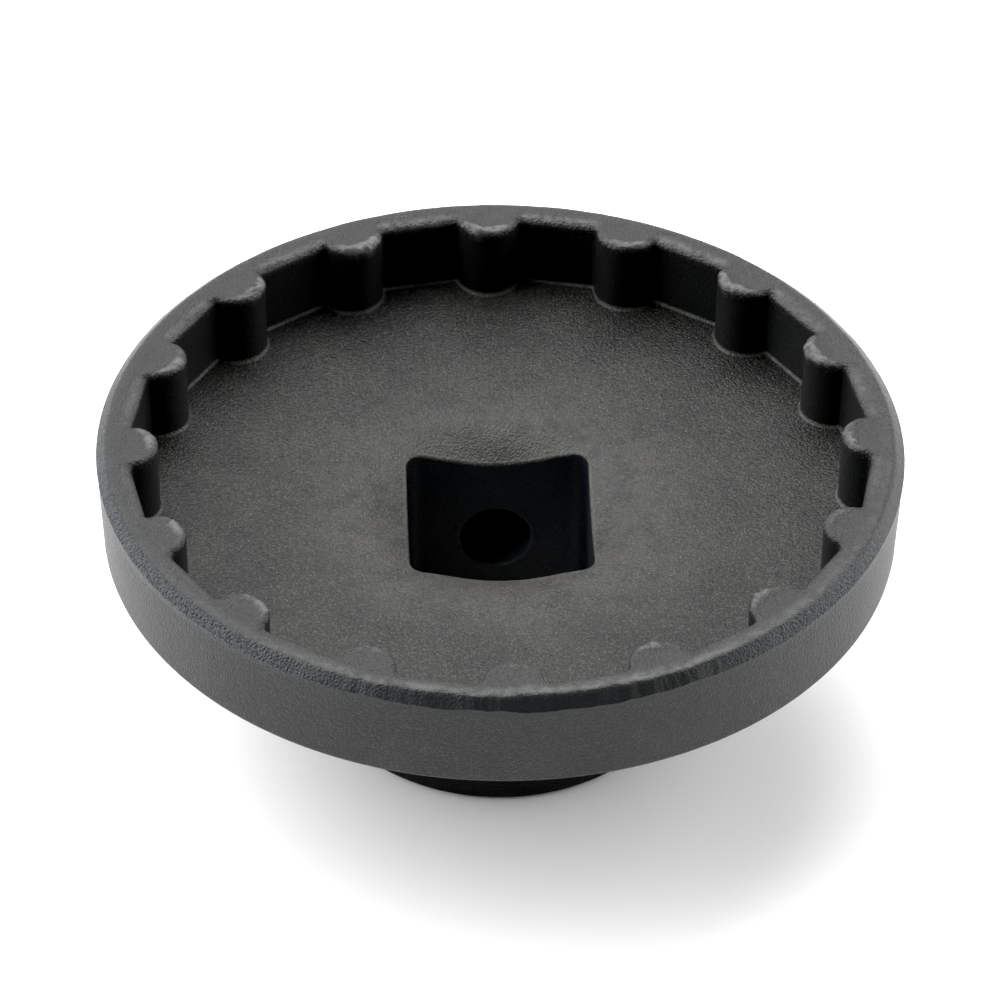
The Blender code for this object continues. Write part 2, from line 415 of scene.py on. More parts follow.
def top_fall(points, inset):
    """How far the top is lowered: a dish over each lug, a crown on the flats, and the casting's waves."""
    disc = disc_share(points)
    dish = DISC_DEPTH * disc * np.exp(-((from_lug(points) / (1.3 * MM)) ** 2))
    crown = CROWN * (1 - disc) * (1 - smooth(inset, 0, CROWN_WIDTH))
    waves = 0.025 * MM * rough(points, 1.6 * MM, 1) + 0.014 * MM * rough(points, 0.6 * MM, 2)
    return dish + crown + waves


def edge_wear_and_highlight(points, inset, beyond):
    """How far the flats' inner edge is rubbed bright towards +Y, and how strong the painted highlight on
    the top's outer edge is towards -Y.
    """
    angle = np.arctan2(points[:, 1], points[:, 0])
    patchy = 0.75 + 0.9 * rough(points, 0.5 * MM, 17) + 0.5 * rough(points, 3 * MM, 18)
    inner = near_angle(angle, QUARTER, LIP_SPREAD) * (1 - disc_share(points))
    inner *= 1 - smooth(inset, 0.4 * MM, 1.1 * MM)
    outer = near_angle(angle, EDGE_HIGHLIGHT_AT, EDGE_HIGHLIGHT_SPREAD)
    outer *= 1 - smooth(beyond, 0.1 * MM, 0.9 * MM)
    return np.clip(patchy, 0, 1) * (0.85 * inner + 0.75 * outer)


def outer_fall(beyond):
    """How far the top is lowered near its outer edge, at a distance from it."""
    return OUTER_FALL * np.clip(1 - beyond / OUTER_WIDTH, 0, 1) ** 2


def lips(points, inset):
    """The lip that hammering has raised near the tip of each lug: its height at each point."""
    angle = np.arctan2(points[:, 1], points[:, 0])
    sector = np.round((angle - QUARTER) / (2 * HALF_SIDE))
    lug = LUG_CENTRE * unit(sector * 2 * HALF_SIDE + QUARTER)
    out = points[:, :2] - lug
    inward = -unit(sector * 2 * HALF_SIDE + QUARTER)
    across = out[:, 0] * inward[:, 1] - out[:, 1] * inward[:, 0]
    ahead = np.sum(out * inward, axis=1)
    swing = np.arctan2(across, ahead)
    off_centre = LIP_OFF_CENTRE * np.sin(sector * 2.4 + 0.8)
    window = np.exp(-(((swing - off_centre) / LIP_SWING) ** 2)) * smooth(ahead, 0.1 * MM, 0.9 * MM)
    wander = 0.12 * MM * rough(points, 0.9 * MM, 3)
    line = np.exp(-(((inset - LIP_INSET - wander) / LIP_WIDTH) ** 2))
    lump = 0.85 + 0.8 * rough(points, 0.5 * MM, 4) + 0.5 * rough(points, 0.25 * MM, 16)
    height = LIP_LEAST + LIP_MORE * near_angle(angle, QUARTER, LIP_SPREAD)
    height *= 1 + 0.3 * np.sin(sector * 1.7)
    return np.maximum(0, window * line * lump) * height


def lip_wear_and_highlight(proud):
    """The lips are rubbed bright where they stand proud: partly wear, and partly a painted highlight,
    strongest on the higher lips towards +Y.
    """
    return smooth(proud, 0.05 * MM, 0.20 * MM)


def wall_rows(skin, edge):
    """Rows up the inner wall, as far as the rounding of its top edge."""
    foot = FLOOR_AT_WALL + FOOT_FILLET
    low, normals = wall_outline(foot)
    high, _ = wall_outline(TOP - FLAT_EDGE)
    rows = []
    for share in before_one(WALL_ROWS):
        points = with_height(low + share * (high - low), foot + share * (TOP - edge - foot))
        bulge = WALL_BULGE * rough(points, 2.2 * MM, 5) * min(1, 4 * share)
        points[:, :2] += normals * bulge[:, None]
        # the walls' darker colour is painted shade
        rows.append(skin.row(points, peened=INNER_PEENED_AND_SHADED))
    return rows


def edge_rows(skin, rim, normals, edge):
    """Rows round the inner top edge, pushed up and inwards where there are lips."""
    rows = []
    for share in before_one(EDGE_ROWS):
        turn = share * QUARTER
        inset = edge * (1 - math.cos(turn))
        points = with_height(rim + normals * inset[:, None], TOP - edge * (1 - math.sin(turn)))
        proud = lips(points, inset)
        points[:, 2] += (LIP_RISE * proud - top_fall(points, inset)) * math.sin(turn)
        points[:, :2] -= normals * (LIP_OVERHANG * proud * math.cos(turn))[:, None]
        # the lips' brightness is partly wear and partly a painted highlight
        wear = lip_wear_and_highlight(proud) + share * edge_wear_and_highlight(points, inset, MM)
        rows.append(skin.row(points, wear=np.minimum(wear, 1)))
    return rows


def top_rows(skin, inner, outer, edge):
    """Rows across the top, from the inner edge to where the cast rounding starts."""
    rows = []
    for share in before_one(TOP_ROWS):
        points = with_height(inner + share * (outer - inner), TOP)
        inset = edge + share * np.linalg.norm(outer - inner, axis=1)
        proud = lips(points, inset)
        fade = 1 - 0.6 * smooth(share, 0.7, 1)
        beyond = np.linalg.norm(outer - points[:, :2], axis=1)
        points[:, 2] += LIP_RISE * proud - top_fall(points, inset) * fade - outer_fall(beyond)
        # wear, and painted highlights on the lips and along the top's outer edge
        wear = lip_wear_and_highlight(proud) + edge_wear_and_highlight(points, inset, beyond)
        peened = DISC_PEENED * disc_share(points)
        rows.append(skin.row(points, wear=np.minimum(wear, 1), peened=peened))
    return rows


def cast_width(angle):
    """How far in from the turned side the cast rounding starts."""
    circle = with_height(RIM_RADIUS * unit(angle), TOP)
    lean = CAST_LEAN * np.cos(angle - LEAN_TOWARDS)
    waves = 0.34 * rough(circle, 3.4 * MM, 6) + 0.17 * rough(circle, 1.1 * MM, 7)
    waves += 0.09 * rough(circle, 0.4 * MM, 15)
    uneven = 0.15 + 0.85 * near_angle(angle, UNEVEN_AT, UNEVEN_SPREAD)
    return CAST_RUN + lean + waves * uneven * MM


def cast_rows(skin, angle, width):
    """Rows down the cast rounding as far as the turned side, and the heights of the last of them."""
    ring = unit(angle)
    pitted = near_angle(angle, PITTED_AT, PITTED_SPREAD)
    pitted += 0.6 * near_angle(angle, CRUSTED_AT, CRUSTED_SPREAD)
    steps = np.linspace(0, 1, PROFILE_STEPS + 1)
    tilt = FALL_TILT + (CAST_TILT - FALL_TILT) * smooth(steps, 0, CAST_BEND)
    across = np.concatenate([[0], np.cumsum(np.cos(tilt[:-1]))])
    down = np.concatenate([[0], np.cumsum(np.sin(tilt[:-1]))]) / across[-1]
    across /= across[-1]
    rows = []
    for share in np.linspace(0, 1, ROUNDING_ROWS + 1):
        turn = np.interp(share, steps, tilt)
        radius = RIM_RADIUS - width * (1 - np.interp(share, steps, across))
        height = TOP - OUTER_FALL - width * np.interp(share, steps, down)
        points = with_height(radius[:, None] * ring, height)
        lumps = 0.022 * MM * rough(points, 0.55 * MM, 8) + 0.012 * MM * rough(points, 0.25 * MM, 9)
        lumps *= math.sin(math.pi * share) * (0.25 + pitted)
        points[:, :2] += ring * (lumps * math.sin(turn))[:, None]
        fall = 0.4 * top_fall(points, CROWN_WIDTH) * (1 - smooth(share, 0, 0.6))
        points[:, 2] += lumps * math.cos(turn) - fall
        cast = smooth(share, 0.0, 0.35)
        # the painted highlight of the top's outer edge runs onto the top of the rounding
        wear = edge_wear_and_highlight(points, MM, 0) * (1 - smooth(share, 0, 0.25))
        # away from the pits the rounding is smoother and darker: the darkness is painted shade
        rows.append(skin.row(points, wear=wear, pits=pitted * cast, peened=(1 - pitted) * cast))
    return rows, points[:, 2]


def side_rows(skin, ring, crease_height):
    """Rows down the turned side, round its lower edge and in to the web's underside."""
    low = RIM_BOTTOM + LOWER_ROUND
    rows = []
    for share in after_zero(SIDE_ROWS):
        height = crease_height + share * (low - crease_height)
        drop = (TOP - height) / (TOP - RIM_BOTTOM)
        points = with_height((RIM_RADIUS - SIDE_DRAFT * drop)[:, None] * ring, height)
        points[:, :2] += ring * (0.012 * MM * rough(points, 3 * MM, 10))[:, None]
        rows.append(skin.row(points))
    for share in after_zero(LOWER_ROWS):
        turn = share * QUARTER
        radius = RIM_RADIUS - SIDE_DRAFT - LOWER_ROUND * (1 - math.cos(turn))
        rows.append(skin.row(with_height(radius * ring, low - LOWER_ROUND * math.sin(turn))))
    rows.append(skin.row(with_height(0.5 * (radius + WEB_EDGE) * ring, RIM_BOTTOM)))
    rows.append(skin.row(with_height(WEB_EDGE * ring, RIM_BOTTOM)))
    return rows


def cup_rows(skin):
    """Rows up the wall and over the top, down the cast rounding, and down the side; and their angles."""
    edge = FLAT_EDGE + lug_share() * (LUG_EDGE - FLAT_EDGE)
    rim, normals = wall_outline(TOP - FLAT_EDGE)
    inner = rim + normals * edge[:, None]
    inner_angle = np.unwrap(np.arctan2(inner[:, 1], inner[:, 0]))
    even_angle = inner_angle[0] + TURN * np.arange(AROUND) / AROUND
    angle = 0.65 * inner_angle + 0.35 * even_angle
    ring = unit(angle)
    width = cast_width(angle)
    outer = (RIM_RADIUS - width)[:, None] * ring
    up = wall_rows(skin, edge) + edge_rows(skin, rim, normals, edge)
    over = top_rows(skin, inner, outer, edge)
    rounding, crease_height = cast_rows(skin, angle, width)
    side = side_rows(skin, ring, crease_height)
    return up + over, rounding, side, angle


def share_out_cup(skin, inner_rows, rounding, side):
    """The lugs take their part of the inner rows' faces, and the rim the rest. Both get closed off."""
    rows = inner_rows + rounding + side
    reach = ARC_STEPS + JOIN_STEPS
    back_row = len(inner_rows) - LUG_BACK
    group = CAST_TOP
    for level, (row, following) in enumerate(zip(rows, rows[1:])):
        if row is rounding[-1]:
            group = TURNED_SIDE
        for i in range(AROUND):
            sector, step = divmod(i, 2 * HALF_STEPS)
            on_lug = level < back_row and HALF_STEPS - reach <= step < HALF_STEPS + reach
            piece = lug_name(sector) if on_lug else "rim_ring"
            j = (i + 1) % AROUND
            skin.face((row[i], following[i], following[j], row[j]), piece, group)
    all_points = np.concatenate(skin.points)
    for sector in range(LUG_COUNT):
        span = sector * 2 * HALF_STEPS + np.arange(HALF_STEPS - reach, HALF_STEPS + reach + 1)
        close_off_lug(skin, lug_name(sector), [row[span] for row in rows[:back_row + 1]], all_points)
    skin.strip(rows[-1], rows[0], "rim_ring", INSIDE)


def lug_name(sector):
    """Lugs are numbered clockwise from +Y, and sectors the other way."""
    return f"lug_{1 + (-sector) % LUG_COUNT:02d}"


def close_off_lug(skin, piece, rows, all_points):
    """Faces between a lug and the rim behind it, for both, and under the lug."""
    foot, back = rows[0], rows[-1]
    under = all_points[back].copy()
    under[:, 2] = FLOOR_AT_WALL + FOOT_FILLET
    under = skin.row(under)
    quads = []
    for i in range(len(back) - 1):
        quads.append((back[i], under[i], under[i + 1], back[i + 1]))
        quads.append((under[i], foot[i], foot[i + 1], under[i + 1]))
    for row, following in zip(rows, rows[1:]):
        quads.append((row[0], following[0], under[0])[::-1])
        quads.append((row[-1], following[-1], under[-1]))
    for quad in quads:
        skin.face(quad, piece, INSIDE)
        skin.face(quad[::-1], "rim_ring", INSIDE)


def outer_floor_rows(skin):
    """Rows of the fillet at the wall's foot, then of the floor as far in as its rows are plain circles."""
    base, normals = wall_outline(FLOOR_AT_WALL + FOOT_FILLET)
    rows = []
    for share in after_zero(FOOT_ROWS):
        turn = share * QUARTER
        inset = FOOT_FILLET * (1 - math.cos(turn))
        points = with_height(base - normals * inset, FLOOR_AT_WALL + FOOT_FILLET * (1 - math.sin(turn)))
        points[:, 2] += (floor_height(np.linalg.norm(points[:, :2], axis=1)) - FLOOR_AT_WALL) * share
        rows.append(points)
    last = rows[-1]
    angle = np.unwrap(np.arctan2(last[:, 1], last[:, 0]))
    even = angle[0] + TURN * np.arange(AROUND) / AROUND
    relaxed = RELAXED_RADIUS * unit(0.5 * (angle + even))
    for share in (0.2, 0.45, 0.7, 1.0):
        flat = last[:, :2] + share * (relaxed - last[:, :2])
        points = with_height(flat, floor_height(np.linalg.norm(flat, axis=1)))
        points[:, 2] += CAST_WAVES * rough(points, 3 * MM, 11) * smooth(share, 0, 0.5)
        rows.append(points)
    numbered = reversed(list(enumerate(rows)))
    # the fillet at the wall's foot is brighter: partly wear, partly a painted highlight
    outer = [skin.row(points, wear=FOOT_WEAR_AND_HIGHLIGHT * (number < 3)) for number, points in numbered]
    return outer, 0.5 * (angle + even), even


def inner_floor_rows(skin, few_from, few_to):
    """Rows of the floor from the outer ones in to the socket, round its lip and down its walls."""
    rows = []
    wear = []
    circles = np.linspace(RELAXED_RADIUS, THROAT_RADIUS, CIRCLE_ROWS + 1)[1:]
    for number, radius in enumerate(circles):
        share = (number + 1) / len(circles)
        flat = radius * unit(few_from + share * (few_to - few_from))
        rows.append(with_height(flat, floor_height(radius)))
        # painted highlight round the socket, fading towards the wall
        wear.append(FLOOR_HIGHLIGHT * (1 - smooth(radius, *FLOOR_HIGHLIGHT_SPAN)))
    ring = unit(few_to)
    lip = square_radius(few_to, DRIVE_HALF + DRIVE_LIP, DRIVE_CORNER + DRIVE_LIP)
    for share in after_zero(THROAT_ROWS):
        radius = THROAT_RADIUS + share * (lip - THROAT_RADIUS)
        rows.append(with_height(radius[:, None] * ring, floor_height(radius)))
        # painted highlight round the socket, fading towards the wall
        wear.append(FLOOR_HIGHLIGHT * (1 - smooth(radius, *FLOOR_HIGHLIGHT_SPAN)))
    for points in rows:
        points[:, 2] += CAST_WAVES * rough(points, 3 * MM, 11)
    edge_height = rows[-1][:, 2]
    chips = DRIVE_LIP * (1 + 0.35 * rough(rows[-1], 0.9 * MM, 12))
    for share in after_zero(DRIVE_LIP_ROWS):
        turn = share * QUARTER
        radius = square_radius(few_to, DRIVE_HALF + DRIVE_LIP * (1 - math.sin(turn)), DRIVE_CORNER)
        rows.append(with_height(radius[:, None] * ring, edge_height - chips * (1 - math.cos(turn))))
        wear.append(DRIVE_LIP_WEAR * math.sin(math.pi * share))
    wall_from = rows[-1][:, 2]
    radius = square_radius(few_to, DRIVE_HALF, DRIVE_CORNER)
    for share in after_zero(SOCKET_ROWS):
        rows.append(with_height(radius[:, None] * ring, wall_from + share * (HUB_TOP - wall_from)))
        wear.append(0.0)
    return [skin.row(points, wear=amount) for points, amount in zip(rows[::-1], wear[::-1])]


def underside_rows(skin, web_edge, cup_angle, few_to):
    """Rows of the web's underside, from the rim in to the fillet above the hub and down to the hub."""
    fillet_radius = HUB_RADIUS + HUB_FILLET
    fillet_top = underside_height(fillet_radius)
    rows = [web_edge]
    for share in after_zero(WEB_ROWS):
        radius = WEB_EDGE + share * (fillet_radius - WEB_EDGE)
        spread = cup_angle[::THIN] + share * (few_to - cup_angle[::THIN])
        points = with_height(radius * unit(spread), underside_height(radius))
        points[:, 2] += CAST_WAVES * rough(points, 3 * MM, 13) * math.sin(math.pi * share)
        # painted shade under the web, growing towards the fillet
        rows.append(skin.row(points, soot=FILLET_PAINTED_SHADE * smooth(share, 0.3, 1)))
    for share in after_zero(HUB_FILLET_ROWS):
        turn = QUARTER * (1 + share)
        radius = fillet_radius + HUB_FILLET * math.cos(turn)
        height = fillet_top - HUB_FILLET + HUB_FILLET * math.sin(turn)
        blend = share * (HUB_TOP - (fillet_top - HUB_FILLET))
        # painted shade, deepening down the fillet to the hub
        soot = FILLET_PAINTED_SHADE + (1 - FILLET_PAINTED_SHADE) * smooth(share, 0, 0.9)
        rows.append(skin.row(with_height(radius * unit(few_to), height + blend), soot=soot))
    return rows


def add_web(skin, foot, web_edge, cup_angle):
    """The floor from the socket's wall outwards to the foot of the cup's wall, and the web's underside."""
    outer, outer_angle, even = outer_floor_rows(skin)
    few_to = even[::THIN]
    inner = inner_floor_rows(skin, outer_angle[::THIN], few_to)
    top = inner + outer + [foot]
    for number, (row, following) in enumerate(zip(top, top[1:])):
        skin.strip(row, following, "floor_web", SOCKET_WALL if number < SOCKET_ROWS else FLOOR)
    below = underside_rows(skin, web_edge, cup_angle, few_to)
    for row, following in zip(below, below[1:]):
        skin.strip(row, following, "floor_web", UNDERSIDE)
    skin.strip(below[-1], inner[0], "floor_web", INSIDE)
    skin.strip(foot, web_edge, "floor_web", INSIDE)


def group_normals(skin, points):
    """A smooth normal for each corner of each face. Faces inside the steel stay flat."""
    sums = {}
    flat = []
    for face, group in zip(skin.faces, skin.groups):
        corners = points[face]
        following = np.roll(corners, -1, axis=0)
        area = np.cross(corners, following).sum(0)
        flat.append(area)
        if group is not INSIDE:
            for corner in face:
                key = (corner, group)
                sums[key] = sums[key] + area if key in sums else area
    result = []
    for face, group, area in zip(skin.faces, skin.groups, flat):
        for corner in face:
            normal = area if group is INSIDE else sums[(corner, group)]
            result.append(normal / max(np.linalg.norm(normal), 1e-30))
    return result


def build_skin():
    """One object for each region of the casting, apart from the hub."""
    skin = Skin()
    inner_rows, rounding, side, angle = cup_rows(skin)
    share_out_cup(skin, inner_rows, rounding, side)
    add_web(skin, inner_rows[0], side[-1], angle)
    points = np.concatenate(skin.points)
    traits = {name: np.concatenate(values) for name, values in skin.traits.items()}
    normals = group_normals(skin, points)
    starts = np.cumsum([0] + [len(face) for face in skin.faces])
    objects = []
    for piece in sorted(set(skin.pieces)):
        chosen = [i for i, name in enumerate(skin.pieces) if name == piece]
        used = sorted({corner for i in chosen for corner in skin.faces[i]})
        place = {corner: index for index, corner in enumerate(used)}
        faces = [[place[corner] for corner in skin.faces[i]] for i in chosen]
        mesh = bpy.data.meshes.new(piece + "_skin")
        mesh.from_pydata(points[used].tolist(), [], faces)
        mesh.shade_smooth()
        for name, values in traits.items():
            mesh.attributes.new(name, "FLOAT", "POINT").data.foreach_set("value", values[used])
        finish = [FINISH_OF_GROUP.get(skin.groups[i], 0) for i in chosen]
        mesh.polygons.foreach_set("material_index", finish)
        corners = [normals[k] for i in chosen for k in range(starts[i], starts[i + 1])]
        mesh.normals_split_custom_set(corners)
        objects.append(place_piece(piece, mesh))
    return objects


def place_piece(node, mesh):
    """Puts a mesh in the scene in place of a CAD node."""
    obj = bpy.data.objects.new(node + "_skin", mesh)
    bpy.context.scene.collection.objects.link(obj)
    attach(obj, "root")
    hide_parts(node)
    return obj


def tube(name, rows):
    """A closed ring-shaped mesh through rows of points that run clockwise round its section."""
    mesh = bpy.data.meshes.new(name)
    count = len(rows[0])
    faces = []
    for number in range(len(rows)):
        row, following = number * count, (number + 1) % len(rows) * count
        for i in range(count):
            j = (i + 1) % count
            faces.append((row + i, following + i, following + j, row + j))
    mesh.from_pydata(np.concatenate(rows).tolist(), [], faces)
    return mesh


def detent_drill():
    """The drill for the blind hole in the +Y wall of the socket, with its countersink."""
    end = DRIVE_HALF + DETENT_DEPTH
    tip = end + DETENT_RADIUS / math.tan(DETENT_POINT / 2)
    stations = [
        (DRIVE_HALF - MM, DETENT_RADIUS + DETENT_CHAMFER + MM),
        (DRIVE_HALF + DETENT_CHAMFER, DETENT_RADIUS),
        (end, DETENT_RADIUS),
    ]
    circle = unit(TURN * np.arange(DRILL_STEPS) / DRILL_STEPS)
    pairs = [(i, (i + 1) % DRILL_STEPS) for i in range(DRILL_STEPS)]
    points, faces = [], []
    for number, (away, radius) in enumerate(stations):
        points += [(x, away, DETENT_HEIGHT + z) for x, z in radius * circle]
        if number:
            low, high = (number - 1) * DRILL_STEPS, number * DRILL_STEPS
            faces += [(low + i, low + j, high + j, high + i) for i, j in pairs]
    points.append((0, tip, DETENT_HEIGHT))
    last = (len(stations) - 1) * DRILL_STEPS
    faces += [(last + i, last + j, len(points) - 1) for i, j in pairs]
    faces.append(tuple(range(DRILL_STEPS))[::-1])
    mesh = bpy.data.meshes.new("detent_drill")
    mesh.from_pydata(points, [], [face[::-1] for face in faces])
    drill = bpy.data.objects.new("detent_drill", mesh)
    bpy.context.scene.collection.objects.link(drill)
    return drill


def hub_rows():
    """Rows round the hub: up the socket from its lead-in, out across the top and down the outside."""
    angles = TURN * np.arange(FEW) / FEW
    ring = unit(angles)

    def square(half, height):
        radius = square_radius(angles, half, DRIVE_CORNER + half - DRIVE_HALF)
        return with_height(radius[:, None] * ring, height)

    def turned(radius, height):
        return with_height(radius * ring, height)

    return [
        square(DRIVE_HALF + DRIVE_LEAD_IN, 0),
        square(DRIVE_HALF, DRIVE_LEAD_IN),
        square(DRIVE_HALF, HUB_TOP),
        turned(HUB_RADIUS, HUB_TOP),
        turned(HUB_RADIUS, HUB_CHAMFER),
        turned(HUB_RADIUS - HUB_CHAMFER, 0),
    ]


def drilled_mesh(hub):
    """The hub's mesh with the detent hole cut into it."""
    drill = detent_drill()
    cut = hub.modifiers.new("detent", "BOOLEAN")
    cut.operation = "DIFFERENCE"
    cut.object = drill
    graph = bpy.context.evaluated_depsgraph_get()
    mesh = bpy.data.meshes.new_from_object(hub.evaluated_get(graph))
    hub.modifiers.remove(cut)
    bpy.data.objects.remove(drill, do_unlink=True)
    return mesh


def hub_part(x, y, z):
    """Which part of the hub's surface a place is on."""
    if math.hypot(x, y) > HUB_RADIUS - HUB_CHAMFER:
        return "outside"
    drilled = y > DRIVE_HALF and math.hypot(x, z - DETENT_HEIGHT) < DETENT_RADIUS + DETENT_CHAMFER
    return "drilled" if drilled else "socket"


def build_hub():
    """The hub, drilled for the detent. Its outside is darkened with painted shade, as is the web's
    underside near it.
    """
    rows = hub_rows()
    mesh = tube("drive_hub_skin", rows)
    for name in TRAITS:
        mesh.attributes.new(name, "FLOAT", "POINT")
    away = np.linalg.norm(np.concatenate(rows)[:, :2], axis=1)
    # painted shade on the hub's outside
    outside = (away > HUB_RADIUS - 2 * HUB_CHAMFER).astype(float)
    mesh.attributes["soot"].data.foreach_set("value", outside)
    hub = place_piece("drive_hub", mesh)
    hub.data = drilled_mesh(hub)
    for face in hub.data.polygons:
        face.material_index = HUB_FINISHES[hub_part(*face.center)]
    hub.data.shade_smooth()
    hub.data.set_sharp_from_angle(angle=SHARP_FROM)
    return hub


# Materials

class Nodes:
    """Short calls for building a node tree."""

    def __init__(self, tree):
        self.tree = tree
        tree.nodes.clear()

    def add(self, kind, inputs=(), **settings):
        """A node, with each input either linked to a socket or set to a value."""
        node = self.tree.nodes.new(kind)
        for name, value in settings.items():
            setattr(node, name, value)
        for key, value in dict(inputs).items():
            if isinstance(value, bpy.types.NodeSocket):
                self.tree.links.new(value, node.inputs[key])
            else:
                node.inputs[key].default_value = value
        return node

    def math(self, operation, a, b=0.5, clamp=False):
        return self.add("ShaderNodeMath", {0: a, 1: b}, operation=operation, use_clamp=clamp).outputs[0]

    def blend(self, factor, a, b):
        """A colour between two colours."""
        node = self.add("ShaderNodeMix", {"Factor": factor, 6: a, 7: b}, data_type="RGBA")
        return node.outputs[2]

    def spread(self, value, low, high, to_low=0.0, to_high=1.0):
        """A value taken from one range to another along an even curve."""
        inputs = {"Value": value, 1: low, 2: high, 3: to_low, 4: to_high}
        return self.add("ShaderNodeMapRange", inputs, interpolation_type="SMOOTHSTEP").outputs[0]

    def grain(self, where, size, detail=2.0, roughness=0.5):
        inputs = {"Vector": where, "Scale": 1 / size, "Detail": detail, "Roughness": roughness}
        return self.add("ShaderNodeTexNoise", inputs).outputs[0]

    def dots(self, where, size):
        """How close a place is to the middle of its own small cell, up to 1, and a value for the cell."""
        cells = self.add("ShaderNodeTexVoronoi", {"Vector": where, "Scale": 1 / size})
        picked = self.add("ShaderNodeSeparateColor", {"Color": cells.outputs["Color"]}).outputs[0]
        return self.math("SUBTRACT", 1.0, cells.outputs["Distance"]), picked

    def trait(self, name):
        return self.add("ShaderNodeAttribute", attribute_name=name).outputs["Fac"]


def steel_pattern(nodes):
    """What the finish is made of: the traits of each point, noises, sand marks and specks."""
    where = nodes.add("ShaderNodeTexCoord").outputs["Object"]
    pattern = SimpleNamespace(**{name: nodes.trait(name) for name in TRAITS})
    pattern.fine = nodes.grain(where, FINE_GRAIN, 1.5, 0.6)
    pattern.blasted = nodes.grain(where, BLASTED_GRAIN, 1.0)
    pattern.cloudy = nodes.grain(where, CLOUDS, 3.0)
    stain = nodes.grain(where, STAINS, 3.0, 0.6)
    pattern.worn = nodes.math("MULTIPLY", pattern.wear, nodes.spread(stain, 0.30, 0.60, 0.35, 1.0))
    pattern.dot, pattern.dot_pick = nodes.dots(where, SAND)
    speck, pick = nodes.dots(where, SPECKS)
    speck = nodes.math("MULTIPLY", nodes.spread(speck, 0.72, 0.90), nodes.spread(pick, 0.55, 0.95))
    pattern.speck = nodes.math("MULTIPLY", speck, nodes.spread(pattern.peened, 0, 1, 1.0, 0.0))
    return pattern


def steel_colour(nodes, pattern, dark, pale):
    """Dark and pale grain, then crust in the pits with a painted sheen, worn places and painted
    highlights, specks that are partly painted glints, and painted shade.
    """
    cloud = nodes.spread(pattern.cloudy, 0.35, 0.65, -0.06, 0.06)
    sandy = nodes.spread(pattern.dot, 0.45, 0.85)
    sandy = nodes.math("MULTIPLY", sandy, nodes.spread(pattern.dot_pick, 0.2, 1.0))
    shade = nodes.math("ADD", nodes.spread(pattern.fine, 0.44, 0.74, 0, 0.5), cloud)
    shade = nodes.math("ADD", shade, nodes.math("MULTIPLY", sandy, 0.75))
    # peened places are darker: on the inner walls and the cast rounding this is painted shade
    shade = nodes.math("SUBTRACT", shade, nodes.math("MULTIPLY", pattern.peened, 0.65), clamp=True)
    crust_and_sheen = nodes.math("MULTIPLY", pattern.pits, nodes.spread(pattern.blasted, 0.36, 0.56))
    bright = SPECK_AND_GLINT_BRIGHTNESS * pale[1]
    colour = nodes.blend(shade, dark, pale)
    # paler crust in the pits, partly a painted sheen
    colour = nodes.blend(crust_and_sheen, colour, CRUST_AND_SHEEN)
    # wear and painted highlights
    colour = nodes.blend(pattern.worn, colour, WORN_AND_HIGHLIT)
    # bright specks, partly painted glints
    colour = nodes.blend(nodes.math("MULTIPLY", pattern.speck, 0.6), colour, (bright, bright, bright, 1))
    # painted shade on the hub and under the web
    return nodes.blend(nodes.math("MULTIPLY", pattern.soot, 0.96), colour, PAINTED_SHADE_COLOUR)


def steel_gloss(nodes, pattern, roughness):
    """Rougher in the pits, and smoother where peened, worn or given a painted highlight."""
    gloss = nodes.spread(pattern.fine, 0.3, 0.7, roughness - 0.05, roughness + 0.05)
    gloss = nodes.math("ADD", gloss, nodes.math("MULTIPLY", pattern.pits, 0.06))
    gloss = nodes.math("SUBTRACT", gloss, nodes.math("MULTIPLY", pattern.peened, 0.06))
    return nodes.math("SUBTRACT", gloss, nodes.math("MULTIPLY", pattern.worn, 0.08), clamp=True)


def steel_relief(nodes, pattern, relief):
    """Sand marks and grain, deepest in the pits and shallower where peened, worn or given a painted
    highlight.
    """
    depth = nodes.spread(pattern.pits, 0, 1, relief, PITTED_RELIEF)
    depth = nodes.math("MULTIPLY", depth, nodes.spread(pattern.peened, 0, 1, 1.0, 0.4))
    depth = nodes.math("MULTIPLY", depth, nodes.spread(pattern.wear, 0, 1, 1.0, 0.6))
    height = nodes.math("ADD", nodes.math("MULTIPLY", pattern.dot, SAND_SHARE), pattern.blasted)
    height = nodes.math("MULTIPLY", height, depth)
    height = nodes.math("ADD", height, nodes.math("MULTIPLY", pattern.fine, FINE_RELIEF))
    height = nodes.math("ADD", height, nodes.math("MULTIPLY", pattern.speck, SPECK_RELIEF))
    return nodes.add("ShaderNodeBump", {"Height": height, "Distance": 1.0, "Strength": 1.0}).outputs[0]


def blackened_steel(name, dark, pale, shine, roughness, relief):
    """Shot-blasted black steel: fine grain and specks, pits where the skin is as cast, pale where worn or
    given a painted highlight, and dark where shade is painted.
    """
    material = bpy.data.materials.new(name)
    material.use_nodes = True
    nodes = Nodes(material.node_tree)
    pattern = steel_pattern(nodes)
    shader = nodes.add("ShaderNodeBsdfPrincipled", {
        "Base Color": steel_colour(nodes, pattern, dark, pale),
        "Roughness": steel_gloss(nodes, pattern, roughness),
        "Metallic": 0.0,
        "Specular IOR Level": shine,
        "Normal": steel_relief(nodes, pattern, relief),
    })
    nodes.add("ShaderNodeOutputMaterial", {"Surface": shader.outputs[0]})
    return material


def dress(objects):
    """Gives each piece its finishes, in the order that its faces count them."""
    finishes = {name: blackened_steel(name, **finish) for name, finish in FINISHES.items()}
    for obj in objects:
        for name in DRESS.get(obj.name, ["blasted_steel"]):
            obj.data.materials.append(finishes[name])


# Studio

